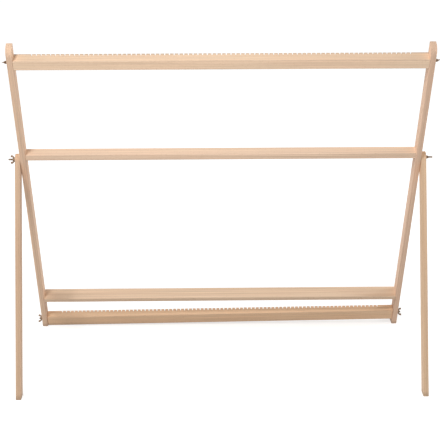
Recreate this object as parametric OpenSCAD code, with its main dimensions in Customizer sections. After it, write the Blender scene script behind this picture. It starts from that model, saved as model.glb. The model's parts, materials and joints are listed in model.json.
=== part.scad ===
// Free-standing tapestry loom with two folding legs, two notched warp beams and two cross bars.
// The loom stands on the floor at z = 0, x runs along the beams and the legs stand towards -y.

/* [Uprights] */
// Distance over the outer faces of the two uprights
frame_width = 1350; // [900:10:1700]
// Length of an upright along its middle line, from the floor to its top end
upright_length = 1254; // [1100:2:1500]
// Thickness of an upright, across the loom
upright_thick = 19; // [18:1:30]
// Depth of an upright, from its front edge to its rear edge
upright_depth = 45; // [42:1:60]
// Forward lean of the uprights from the vertical, in degrees
upright_lean = 21.5; // [12:0.5:28]
// Radius of the rounded front corner at the top end of an upright
nose_r = 28; // [10:1:35]
// Radius of the rounded rear corner at the top end of an upright
heel_r = 8; // [3:1:12]
// Radius that eases the long edges of the uprights, legs and cross bars
edge_r = 2; // [1:0.5:3]

/* [Legs] */
// Distance from the floor to the leg pivot, along an upright
pivot_height = 803; // [600:1:900]
// Thickness of a leg, across the loom
leg_thick = 18; // [15:1:25]
// Depth of a leg, which is also the diameter of its round top end
leg_depth = 39; // [30:1:44]
// Angle of the open legs from the vertical, in degrees
leg_spread = 21; // [15:0.5:28]
// Running gap between a leg and the upright beside it
leg_gap = 0.3; // [0.2:0.1:1]

/* [Warp beams] */
// Wide side of the section of a warp beam
beam_wide = 44; // [38:1:50]
// Narrow side of the section of a warp beam
beam_narrow = 33; // [26:1:36]
// Radius that eases the long edges of a warp beam
beam_edge_r = 1.5; // [1:0.5:4]
// Distance from the top end of an upright down to the top beam's axis
top_beam_drop = 60; // [40:1:160]
// Height of the bottom beam's axis over the low end of its slots, at the middle of the loom
bottom_beam_lift = 12.5; // [11:0.5:30]
// How much higher the bottom beam sits at its right end than at its left end
bottom_beam_skew = 20; // [0:1:20]
// Running gap between the end of a warp beam and the upright beside it
beam_end_gap = 0.3; // [0.2:0.1:1]

/* [Warp notches] */
// Least distance from an upright to the middle of a notch
notch_margin = 50; // [45:1:120]
// Distance from one notch to the next
notch_pitch = 15; // [10:0.5:25]
// Width of a notch, along the beam
notch_width = 3.5; // [3:0.5:8]
// How far a notch reaches over the upper face of its beam
notch_reach = 10; // [4:1:12]
// How far a notch reaches down the rear face of its beam
notch_drop = 10; // [4:1:12]

/* [Tension slots] */
// Width of the slot near the foot of each upright
slot_width = 7; // [6.5:0.5:9]
// Distance from the floor to the slot's lower centre, along an upright
slot_low = 28; // [28:1:40]
// Distance between the slot's lower and upper centres
slot_travel = 64; // [50:1:90]

/* [Cross bars] */
// Distance from the leg pivot up to the middle bar's middle, along an upright
middle_bar_rise = 20; // [19:1:80]
// Thickness of the middle bar, along the uprights
middle_bar_thick = 22; // [14:1:22]
// Depth of the middle bar, from its front edge to its rear edge
middle_bar_depth = 38; // [30:1:44]
// Distance from the upper centre of the slots to the lower bar's middle, along an upright
lower_bar_rise = 60; // [55:1:160]
// Thickness of the lower bar, along the uprights
lower_bar_thick = 15; // [12:1:20]
// Depth of the lower bar, from its front edge to its rear edge
lower_bar_depth = 55; // [46:1:60]

/* [Cross bar screws] */
// Diameter of the shank of a screw
screw_d = 4; // [3:0.5:5]
// Diameter of a countersunk screw head
screw_head_d = 8; // [7:0.5:10]
// Overall length of a screw
screw_length = 50; // [40:5:60]
// Depth of a screw head's face below the upright's outer face
screw_sink = 0.3; // [0.2:0.1:1]
// Distance between the two screws at an end of the middle bar
middle_screw_pitch = 16; // [12:1:18]
// Distance between the two screws at an end of the lower bar
lower_screw_pitch = 24; // [16:1:28]

/* [Studs and bolts] */
// Diameter of every stud and bolt
thread_d = 6; // [5:0.5:6]
// Length of a stud inside its warp beam
stud_grip = 24; // [20:1:40]
// How far a stud stands out past its wing nut's hub
stud_proud = 3; // [1:0.5:6]
// How far a pivot bolt stands out past its wing nut's hub
bolt_proud = 14; // [2:0.5:16]
// Diameter of a pivot bolt's domed head
bolt_head_d = 14; // [12:0.5:16]
// Height of a pivot bolt's domed head
bolt_head_h = 3.3; // [2:0.1:4]
// Depth of the square neck under a pivot bolt's head
bolt_neck_h = 3.5; // [2:0.5:5]
// Outer diameter of the threaded insert in each end of a warp beam
insert_d = 10; // [9:0.5:12]
// Length of the threaded insert
insert_length = 15; // [10:1:18]

/* [Washers and wing nuts] */
// Outer diameter of a washer
washer_d = 18; // [14:1:20]
// Thickness of a washer
washer_thick = 1.6; // [1:0.1:2]
// Diameter of a wing nut's hub at its base
hub_base_d = 12; // [11:0.5:13]
// Diameter of a wing nut's hub at its outer end
hub_end_d = 9.5; // [9:0.5:10.5]
// Height of a wing nut's hub
hub_h = 8; // [6:0.5:10]
// Distance over the tips of a wing nut's wings
wing_span = 30; // [26:1:32]
// Height of a wing nut over its wings
wing_h = 15; // [13:0.5:18]
// Thickness of a wing
wing_thick = 2.5; // [2:0.1:3]
// Radius of a wing's round tip
wing_tip_r = 4; // [3:0.5:4.5]

/* [Fits] */
// Gap all round a turning stud or bolt in wood or in a wing nut
running_fit = 0.08; // [0.05:0.01:0.1]
// Gap all round a fixed stud, insert or screw in its hole
seat_fit = 0.05; // [0.03:0.01:0.1]
// Gap all round a stud in its washer
washer_fit = 0.2; // [0.1:0.05:0.4]
// Gap between a wing nut and its washer
nut_gap = 0.2; // [0.1:0.05:0.4]
// Gap between a sliding washer and the upright's outer face
slide_gap = 0.3; // [0.2:0.05:0.5]

/* [Hidden] */
$fn = 48;
// Overrun of a cutting shape past the face that it cuts
cut = 1;

// The two sides of the loom, as signs of x
LEFT = -1;
RIGHT = 1;

// Turn of each wing nut on its axis, in degrees from the line of the upright towards the front
TURN_TOP_LEFT = 56;
TURN_TOP_RIGHT = 48;
TURN_PIVOT_LEFT = -39;
TURN_PIVOT_RIGHT = 54;
TURN_BOTTOM_LEFT = -48;
TURN_BOTTOM_RIGHT = -42;

// Places across the loom, measured outwards from the middle
outer_x = frame_width / 2;
inner_x = outer_x - upright_thick;
leg_x = outer_x + leg_gap;
pivot_seat_x = leg_x + leg_thick;

// Places along an upright, measured from the floor
top_beam_height = upright_length - top_beam_drop;
middle_bar_height = pivot_height + middle_bar_rise;
slot_high = slot_low + slot_travel;
lower_bar_height = slot_high + lower_bar_rise;
bottom_beam_height = slot_low + bottom_beam_lift;

// Places in the side view
pivot_rise = pivot_height * cos(upright_lean);
pivot_run = pivot_height * sin(upright_lean);
leg_length = pivot_rise / cos(leg_spread);
leg_run = pivot_rise * tan(leg_spread);
front_reach = pivot_run + leg_run + leg_depth / 2 / cos(leg_spread);
rear_reach = upright_depth / 2 / cos(upright_lean);
foot_y = (front_reach - rear_reach) / 2;

// Slope of the bottom beam in its slots, and the room that it leaves at the uprights
skew_angle = atan(bottom_beam_skew / (2 * inner_x));
beam_half_diagonal = norm([beam_wide, beam_narrow]) / 2;
top_half_length = inner_x - beam_end_gap;
bottom_half_length = (top_half_length - beam_half_diagonal * sin(skew_angle)) / cos(skew_angle);
bottom_seat_x = (outer_x + slide_gap) / cos(skew_angle) + washer_d / 2 * sin(skew_angle);

// Rows of notches to either side of the middle one
notch_rows = floor((inner_x - notch_margin) / notch_pitch);

// Small shapes of the hardware
nut_end = washer_thick + nut_gap + hub_h;
rod_chamfer = 0.8;
screw_tip = 4;
screw_point_d = screw_d / 4;
screw_cone_h = (screw_head_d - screw_d) / 2;
recess_length = 0.6 * screw_head_d;
recess_width = 1.1;
recess_depth = 1.2;
wing_root_inset = 0.5;
wing_root_r = (thread_d + hub_end_d) / 4;
wing_lower_tangent = -38;
wing_upper_tangent = 138;

// Colours
LIGHT_WOOD = "#e6cbac";
WARM_WOOD = "#d8b794";
DARK_STEEL = "#6a5644";
BRIGHT_STEEL = "#b9b6b0";
BRASS = "#c2a052";

// Frame of the leaning uprights: z runs up along them from the floor and -y is their front
module on_frame(height = 0) {
    translate([0, foot_y, 0]) rotate([upright_lean, 0, 0]) translate([0, 0, height]) children();
}

// Frame of the top beam, with its origin at the middle of the beam's axis
module on_top_beam() {
    on_frame(top_beam_height) children();
}

// Frame of the bottom beam, which sits askew in its slots
module on_bottom_beam() {
    on_frame(bottom_beam_height) rotate([0, -skew_angle, 0]) children();
}

// Frame of the open legs: the origin is on the pivot line and z runs up along them
module on_leg() {
    translate([0, foot_y - pivot_run, pivot_rise]) rotate([-leg_spread, 0, 0]) children();
}

// Turns a shape made along z so that it points outwards from x on one side of the loom
module outwards(side, x) {
    translate([side * x, 0, 0]) rotate([0, side * 90, 0]) children();
}

// Extrudes an outline along x, centred, with the outline's own x towards y and its own y upwards
module across(length) {
    rotate([90, 0, 90]) translate([0, 0, -length / 2]) linear_extrude(length) children();
}

// Outline of a board with eased corners
module board_section(width, depth, r) {
    square([width - 2 * r, depth], center = true);
    square([width, depth - 2 * r], center = true);
    for (x = [-1, 1], y = [-1, 1]) {
        translate([x * (width / 2 - r), y * (depth / 2 - r)]) circle(r);
    }
}

// Everything below the floor, which cuts the feet level
module below_floor() {
    half_size = 2 * frame_width;
    translate([-half_size, -half_size, -2 * half_size]) cube(2 * half_size);
}

// Board of an upright, with level foot, rounded top end and all its holes
module upright(side) {
    color(WARM_WOOD) difference() {
        on_frame() difference() {
            translate([side * (outer_x - upright_thick / 2), 0, -upright_depth])
                linear_extrude(upright_length + upright_depth)
                    board_section(upright_thick, upright_depth, edge_r);
            translate([side * outer_x, 0, upright_length]) upright_end_waste();
            translate([0, 0, top_beam_height]) through_hole(side, thread_d + 2 * running_fit);
            translate([0, 0, pivot_height]) pivot_hole(side);
            tension_slot(side);
            translate([0, 0, middle_bar_height]) screw_holes(side, middle_screw_pitch);
            translate([0, 0, lower_bar_height]) screw_holes(side, lower_screw_pitch);
        }
        below_floor();
    }
}

// What rounds the rear and the front corner of an upright's top end
module upright_end_waste() {
    translate([0, upright_depth / 2, 0]) corner_waste(heel_r);
    mirror([0, 1, 0]) translate([0, upright_depth / 2, 0]) corner_waste(nose_r);
}

// What a round corner of radius r takes off an upright that lies towards -y and -z from the corner
module corner_waste(r) {
    across(2 * (upright_thick + cut)) difference() {
        translate([-r, -r]) square(r + cut);
        translate([-r, -r]) circle(r);
    }
}

// Round hole through an upright
module through_hole(side, d) {
    outwards(side, inner_x - cut) cylinder(d = d, h = upright_thick + 2 * cut);
}

// Hole for a pivot bolt, square at the inner face for the neck under its head
module pivot_hole(side) {
    neck = thread_d + 2 * seat_fit;
    through_hole(side, neck);
    outwards(side, inner_x - cut) translate([-neck / 2, -neck / 2, 0])
        cube([neck, neck, bolt_neck_h + seat_fit + cut]);
}

// Long hole in which a stud of the bottom beam slides
module tension_slot(side) {
    for (height = [slot_low, slot_high]) {
        translate([0, 0, height]) through_hole(side, slot_width);
    }
    translate([side * (outer_x - upright_thick / 2), 0, (slot_low + slot_high) / 2])
        cube([upright_thick + 2 * cut, slot_width, slot_travel], center = true);
}

// Folding leg with a level foot and a round top end about its pivot
module leg(side) {
    color(LIGHT_WOOD) difference() {
        on_leg() difference() {
            translate([side * (leg_x + leg_thick / 2), 0, 0]) {
                translate([0, 0, -leg_length - leg_depth]) linear_extrude(leg_length + leg_depth)
                    board_section(leg_thick, leg_depth, edge_r);
                rotate([0, 90, 0]) leg_round_end();
            }
            outwards(side, leg_x - cut) cylinder(d = thread_d + 2 * running_fit, h = leg_thick + 2 * cut);
        }
        below_floor();
    }
}

// Round end of a leg: its eased section turned about the pivot
module leg_round_end() {
    rotate_extrude() intersection() {
        board_section(leg_depth, leg_thick, edge_r);
        translate([0, -leg_thick]) square([leg_depth, 2 * leg_thick]);
    }
}

// Warp beam with notches over its upper rear edge and a stepped hole in each end
module warp_beam(half_length, depth, height) {
    color(LIGHT_WOOD) difference() {
        across(2 * half_length) board_section(depth, height, beam_edge_r);
        for (i = [-notch_rows : notch_rows]) {
            translate([i * notch_pitch, depth / 2, height / 2]) notch();
        }
        for (side = [LEFT, RIGHT]) stud_bore(side, half_length);
    }
}

// One notch, with the beam's corner at the origin: its floor slopes from the upper to the rear face
module notch() {
    slope = notch_drop / notch_reach;
    across(notch_width) polygon([
        [-notch_reach - cut, slope * cut], [cut, -notch_drop - slope * cut], [cut, slope * cut]
    ]);
}

// Stepped hole in the end of a warp beam, for an insert and the stud behind it
module stud_bore(side, half_length) {
    for (bore = [[thread_d, stud_grip], [insert_d, insert_length]]) {
        depth = bore[1] + seat_fit;
        outwards(side, half_length - depth) cylinder(d = bore[0] + 2 * seat_fit, h = depth + cut);
    }
}

// Cross bar that ties the uprights together, with holes for its screws
module cross_bar(depth, thick, pitch) {
    color(LIGHT_WOOD) difference() {
        across(2 * inner_x) board_section(depth, thick, edge_r);
        for (side = [LEFT, RIGHT]) screw_holes(side, pitch);
    }
}

// Calls its children at the two screws at one end of a cross bar, pointing inwards from the heads
module at_screws(side, pitch) {
    for (y = [-pitch / 2, pitch / 2]) {
        translate([side * (outer_x - screw_sink), y, 0]) rotate([0, -side * 90, 0]) children();
    }
}

// Countersunk holes for the two screws at one end of a cross bar
module screw_holes(side, pitch) {
    head_hole_d = screw_head_d + 2 * seat_fit;
    shank_hole_d = screw_d + 2 * seat_fit;
    at_screws(side, pitch) {
        cylinder(d = shank_hole_d, h = screw_length + seat_fit);
        cylinder(d1 = head_hole_d, d2 = shank_hole_d, h = screw_cone_h);
        translate([0, 0, -screw_sink - cut]) cylinder(d = head_hole_d, h = screw_sink + cut);
    }
}

// The four screws of one cross bar
module bar_screws(pitch) {
    color(BRIGHT_STEEL) for (side = [LEFT, RIGHT]) at_screws(side, pitch) wood_screw();
}

// Countersunk wood screw along z, with the face of its head at the origin and a cross recess
module wood_screw() {
    difference() {
        union() {
            cylinder(d = screw_d, h = screw_length - screw_tip);
            translate([0, 0, screw_length - screw_tip])
                cylinder(d1 = screw_d, d2 = screw_point_d, h = screw_tip);
            cylinder(d1 = screw_head_d, d2 = screw_d, h = screw_cone_h);
        }
        for (turn = [0, 90]) {
            rotate(turn) cube([recess_length, recess_width, 2 * recess_depth], center = true);
        }
    }
}

// Threaded insert in the end of a warp beam
module insert(side, half_length) {
    color(BRASS) outwards(side, half_length - insert_length) difference() {
        cylinder(d = insert_d, h = insert_length);
        translate([0, 0, -cut]) cylinder(d = thread_d + 2 * seat_fit, h = insert_length + 2 * cut);
    }
}

// Round rod along z with a chamfered end
module rod(length) {
    cylinder(d = thread_d, h = length - rod_chamfer);
    translate([0, 0, length - rod_chamfer])
        cylinder(d1 = thread_d, d2 = thread_d - 2 * rod_chamfer, h = rod_chamfer);
}

// Stud from inside a warp beam's end to past its wing nut
module stud(side, half_length, seat_x) {
    start = half_length - stud_grip;
    color(DARK_STEEL) outwards(side, start) rod(seat_x + nut_end + stud_proud - start);
}

// Pivot bolt with a domed head and a square neck, from the upright's inner face outwards
module pivot_bolt(side) {
    dome_r = (pow(bolt_head_d / 2, 2) + pow(bolt_head_h, 2)) / (2 * bolt_head_h);
    color(DARK_STEEL) outwards(side, inner_x) {
        rod(pivot_seat_x + nut_end + bolt_proud - inner_x);
        translate([-thread_d / 2, -thread_d / 2, 0]) cube([thread_d, thread_d, bolt_neck_h]);
        rotate_extrude() intersection() {
            translate([0, dome_r - bolt_head_h]) circle(dome_r);
            translate([0, -bolt_head_h]) square([bolt_head_d, bolt_head_h]);
        }
    }
}

// Flat washer with its inner side at seat_x
module washer(side, seat_x) {
    color(DARK_STEEL) outwards(side, seat_x) difference() {
        cylinder(d = washer_d, h = washer_thick);
        translate([0, 0, -cut]) cylinder(d = thread_d + 2 * washer_fit, h = washer_thick + 2 * cut);
    }
}

// Wing nut over the washer at seat_x, turned on its axis
module wing_nut(side, seat_x, turn) {
    color(DARK_STEEL) rotate([turn, 0, 0]) outwards(side, seat_x + washer_thick + nut_gap) difference() {
        union() {
            cylinder(d1 = hub_base_d, d2 = hub_end_d, h = hub_h);
            for (half = [0, 180]) rotate(half) wing();
        }
        translate([0, 0, -cut]) cylinder(d = thread_d + 2 * running_fit, h = hub_h + 2 * cut);
    }
}

// One wing, rising from inside the hub's wall along x: a web that widens to a round tip
module wing() {
    root = hub_base_d / 2 - wing_root_inset;
    tip = [wing_span / 2 - wing_tip_r, wing_h - wing_tip_r];
    lower = tip + wing_tip_r * [cos(wing_lower_tangent), sin(wing_lower_tangent)];
    upper = tip + wing_tip_r * [cos(wing_upper_tangent), sin(wing_upper_tangent)];
    rotate([90, 0, 0]) translate([0, 0, -wing_thick / 2]) linear_extrude(wing_thick) {
        translate(tip) circle(wing_tip_r);
        polygon([
            [wing_root_r, wing_root_inset], [root, wing_root_inset], lower, tip, upper, [wing_root_r, hub_h]
        ]);
    }
}

upright(LEFT);  // left_upright
upright(RIGHT);  // right_upright
leg(LEFT);  // left_leg
leg(RIGHT);  // right_leg

on_top_beam() warp_beam(top_half_length, beam_wide, beam_narrow);  // top_beam
on_bottom_beam() warp_beam(bottom_half_length, beam_narrow, beam_wide);  // bottom_beam
on_frame(middle_bar_height) cross_bar(middle_bar_depth, middle_bar_thick, middle_screw_pitch);  // middle_bar
on_frame(lower_bar_height) cross_bar(lower_bar_depth, lower_bar_thick, lower_screw_pitch);  // lower_bar
on_frame(middle_bar_height) bar_screws(middle_screw_pitch);  // middle_bar_screws
on_frame(lower_bar_height) bar_screws(lower_screw_pitch);  // lower_bar_screws

on_top_beam() insert(LEFT, top_half_length);  // top_left_insert
on_top_beam() insert(RIGHT, top_half_length);  // top_right_insert
on_bottom_beam() insert(LEFT, bottom_half_length);  // bottom_left_insert
on_bottom_beam() insert(RIGHT, bottom_half_length);  // bottom_right_insert

on_top_beam() stud(LEFT, top_half_length, outer_x);  // top_left_stud
on_top_beam() stud(RIGHT, top_half_length, outer_x);  // top_right_stud
on_bottom_beam() stud(LEFT, bottom_half_length, bottom_seat_x);  // bottom_left_stud
on_bottom_beam() stud(RIGHT, bottom_half_length, bottom_seat_x);  // bottom_right_stud
on_frame(pivot_height) pivot_bolt(LEFT);  // left_pivot_bolt
on_frame(pivot_height) pivot_bolt(RIGHT);  // right_pivot_bolt

on_top_beam() washer(LEFT, outer_x);  // top_left_washer
on_top_beam() washer(RIGHT, outer_x);  // top_right_washer
on_bottom_beam() washer(LEFT, bottom_seat_x);  // bottom_left_washer
on_bottom_beam() washer(RIGHT, bottom_seat_x);  // bottom_right_washer
on_frame(pivot_height) washer(LEFT, pivot_seat_x);  // left_pivot_washer
on_frame(pivot_height) washer(RIGHT, pivot_seat_x);  // right_pivot_washer

on_top_beam() wing_nut(LEFT, outer_x, TURN_TOP_LEFT);  // top_left_wing_nut
on_top_beam() wing_nut(RIGHT, outer_x, TURN_TOP_RIGHT);  // top_right_wing_nut
on_bottom_beam() wing_nut(LEFT, bottom_seat_x, TURN_BOTTOM_LEFT);  // bottom_left_wing_nut
on_bottom_beam() wing_nut(RIGHT, bottom_seat_x, TURN_BOTTOM_RIGHT);  // bottom_right_wing_nut
on_frame(pivot_height) wing_nut(LEFT, pivot_seat_x, TURN_PIVOT_LEFT);  // left_pivot_wing_nut
on_frame(pivot_height) wing_nut(RIGHT, pivot_seat_x, TURN_PIVOT_RIGHT);  // right_pivot_wing_nut
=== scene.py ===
"""Looks of a free-standing tapestry loom: planed beech boards held by bronzed steel wing nuts.

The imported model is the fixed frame. Its boards keep their solids and get a beech finish that follows each
board's own grain. Wing nuts, washers, studs and pivot bolts are replaced, in the same places, by surfaces
with wings, easings and threads. Lengths are in millimetres where a name ends in _mm, otherwise in metres.
"""
import json
import logging
import math
from dataclasses import dataclass
from enum import Enum

import bpy
import numpy as np
from mathutils import Matrix, Vector


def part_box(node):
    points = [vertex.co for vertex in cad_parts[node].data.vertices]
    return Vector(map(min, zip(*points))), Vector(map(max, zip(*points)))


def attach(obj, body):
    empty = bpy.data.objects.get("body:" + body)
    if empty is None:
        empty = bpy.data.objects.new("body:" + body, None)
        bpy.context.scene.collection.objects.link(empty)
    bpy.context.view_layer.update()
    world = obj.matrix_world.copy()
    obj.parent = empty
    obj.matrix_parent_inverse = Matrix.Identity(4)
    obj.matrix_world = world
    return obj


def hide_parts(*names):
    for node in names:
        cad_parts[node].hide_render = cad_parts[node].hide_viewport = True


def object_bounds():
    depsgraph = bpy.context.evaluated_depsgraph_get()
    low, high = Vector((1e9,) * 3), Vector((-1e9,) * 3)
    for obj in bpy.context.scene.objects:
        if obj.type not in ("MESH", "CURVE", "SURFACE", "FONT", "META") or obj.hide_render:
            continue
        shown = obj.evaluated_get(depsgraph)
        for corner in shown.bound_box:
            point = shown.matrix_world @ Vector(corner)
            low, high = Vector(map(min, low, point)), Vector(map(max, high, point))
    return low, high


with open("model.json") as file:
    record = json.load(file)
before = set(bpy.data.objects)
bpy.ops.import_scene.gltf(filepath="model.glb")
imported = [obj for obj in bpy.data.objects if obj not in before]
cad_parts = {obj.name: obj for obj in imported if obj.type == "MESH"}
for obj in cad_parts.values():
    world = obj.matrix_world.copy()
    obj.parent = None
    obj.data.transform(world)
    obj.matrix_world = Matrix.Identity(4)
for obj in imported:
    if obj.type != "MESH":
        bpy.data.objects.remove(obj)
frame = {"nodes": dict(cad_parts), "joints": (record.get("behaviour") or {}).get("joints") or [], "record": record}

CAD_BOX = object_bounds()
LOG = logging.getLogger("tapestry_loom")
MM = 0.001

Socket = bpy.types.NodeSocket
Tree = bpy.types.NodeTree
Material = bpy.types.Material
Mesh = bpy.types.Mesh
Pair = tuple[float, float]
Triple = tuple[float, float, float]
Colour = tuple[float, float, float, float]

WHITE = (1.0, 1.0, 1.0, 1.0)
# Inputs of a Mix node when it mixes colours, and the settings that make it do so
MIX_SHARE, MIX_A, MIX_B = 0, 6, 7
COLOUR_MIX = {"output": 2, "data_type": "RGBA"}
# Setting of a Map Range node that eases between its inputs 1 and 2, and inputs that let it fall from 1 to 0
EASED = {"interpolation_type": "SMOOTHSTEP"}
FALLING = {3: 1.0, 4: 0.0}
# Outputs of the Texture Coordinate and Separate XYZ nodes
NORMAL_OUTPUT, OBJECT_OUTPUT = 1, 3
Y_OUTPUT, Z_OUTPUT = 1, 2
# Outputs of the Noise and Voronoi nodes, of a Vector Math node, and of the Attribute node
COLOUR_OUTPUT = 1
NUMBER_OUTPUT = 1
FACTOR_OUTPUT = 2

# Direction across the loom, from left to right
ACROSS = Vector((1, 0, 0))
# Diameter of the studs and bolts over their threads
THREAD_MM = 6.0


class Side(Enum):
    """The two sides of the loom, as signs of x."""

    LEFT = -1
    RIGHT = 1

    @property
    def word(self) -> str:
        """The side's name as the frame writes it."""
        return self.name.lower()


class Fixing(Enum):
    """The three kinds of place where a wing nut clamps."""

    TOP = "top_{side}"
    BOTTOM = "bottom_{side}"
    PIVOT = "{side}_pivot"

    def stem(self, side: Side) -> str:
        """Start of the names of the nodes at this place."""
        return self.value.format(side=side.word)


def linear(hex_colour: str, gains: Triple = (1.0, 1.0, 1.0)) -> Colour:
    """Turns an sRGB colour into the linear one that Blender computes with.

    Args:
        hex_colour: colour as #RRGGBB.
        gains: what the linear red, green and blue are multiplied by.

    Returns:
        Red, green, blue and an alpha of 1.
    """
    values = [int(hex_colour[i:i + 2], 16) / 255 for i in (1, 3, 5)]
    plain = [v / 12.92 if v <= 0.04045 else ((v + 0.055) / 1.055) ** 2.4 for v in values]
    return (*(value * gain for value, gain in zip(plain, gains)), 1.0)


def add(tree: Tree, kind: str, inputs: dict | None = None, output: int = 0, **settings: object) -> Socket:
    """Adds a node, sets it and links it.

    Args:
        tree: node tree that gets the node.
        kind: Blender's name for the type of node, without the word ShaderNode before it.
        inputs: value, or output socket of another node, for each input by name or number.
        output: number of the output that is wanted.
        settings: properties of the node itself.

    Returns:
        The wanted output socket.
    """
    node = tree.nodes.new(f"ShaderNode{kind}")
    for name, value in settings.items():
        setattr(node, name, value)
    for key, value in (inputs or {}).items():
        if isinstance(value, Socket):
            tree.links.new(value, node.inputs[key])
        else:
            node.inputs[key].default_value = value
    return node.outputs[output] if len(node.outputs) else None


def weighted(tree: Tree, start: float | Socket, *terms: tuple[Socket, float]) -> Socket:
    """Adds up masks.

    Args:
        tree: the material's node tree.
        start: what the masks are added to.
        terms: each mask with the weight that it is multiplied by.

    Returns:
        The start plus each mask times its weight.
    """
    total = start
    for mask, weight in terms:
        total = add(tree, "Math", {0: mask, 1: weight, 2: total}, operation="MULTIPLY_ADD")
    return total


def new_material(name: str) -> tuple[Material, Tree]:
    """Makes an empty node material.

    Args:
        name: the material's name.

    Returns:
        The material and its node tree.
    """
    material = bpy.data.materials.new(name)
    material.use_nodes = True
    material.node_tree.nodes.clear()
    return material, material.node_tree


def in_scene(name: str, data: bpy.types.ID) -> bpy.types.Object:
    """Links a new object into the scene.

    Args:
        name: the object's name.
        data: its mesh, light or camera.

    Returns:
        The object.
    """
    thing = bpy.data.objects.new(name, data)
    bpy.context.scene.collection.objects.link(thing)
    return thing


def joint(name: str) -> dict:
    """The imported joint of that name."""
    return next(entry for entry in frame["joints"] if entry["name"] == name)


def joint_axis(name: str) -> Vector:
    """Unit direction of a packed joint's axis."""
    return Vector(joint(name)["axis"]).normalized()


def joint_point(name: str) -> Vector:
    """Point on the axis of a packed joint that turns."""
    return Vector(joint(name)["pos_m"])


def body_of(node: str) -> str:
    """The body that carries a CAD node."""
    bodies = frame["record"]["behaviour"]["bodies"]
    return next(body for body, members in bodies.items() if node in members)


def frame_up() -> Vector:
    """Direction up along the leaning uprights, in which the bottom beam slides."""
    return joint_axis("bottom_beam_slide")


def middle(node: str) -> Vector:
    """Middle of a node's box."""
    low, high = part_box(node)
    return (low + high) / 2


@dataclass(frozen=True)
class Place:
    """Where a piece lies.

    Attributes:
        origin: a point on its middle line.
        first: unit direction of its own x, along a board's grain.
        second: unit direction of its own y, square to the first.
    """

    origin: Vector
    first: Vector
    second: Vector

    def third(self) -> Vector:
        """Unit direction of the piece's own z."""
        return self.first.cross(self.second)

    def turn(self) -> Matrix:
        """Rotation from the piece's own axes to the frame's."""
        return Matrix((self.first, self.second, self.third())).transposed()

    def matrix(self) -> Matrix:
        """Place of the piece as a matrix, for points in millimetres."""
        return Matrix.Translation(self.origin) @ self.turn().to_4x4() @ Matrix.Scale(MM, 4)

    def moved(self, along_mm: float) -> "Place":
        """The same place, moved along its own z."""
        return Place(self.origin + self.third() * along_mm * MM, self.first, self.second)


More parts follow.
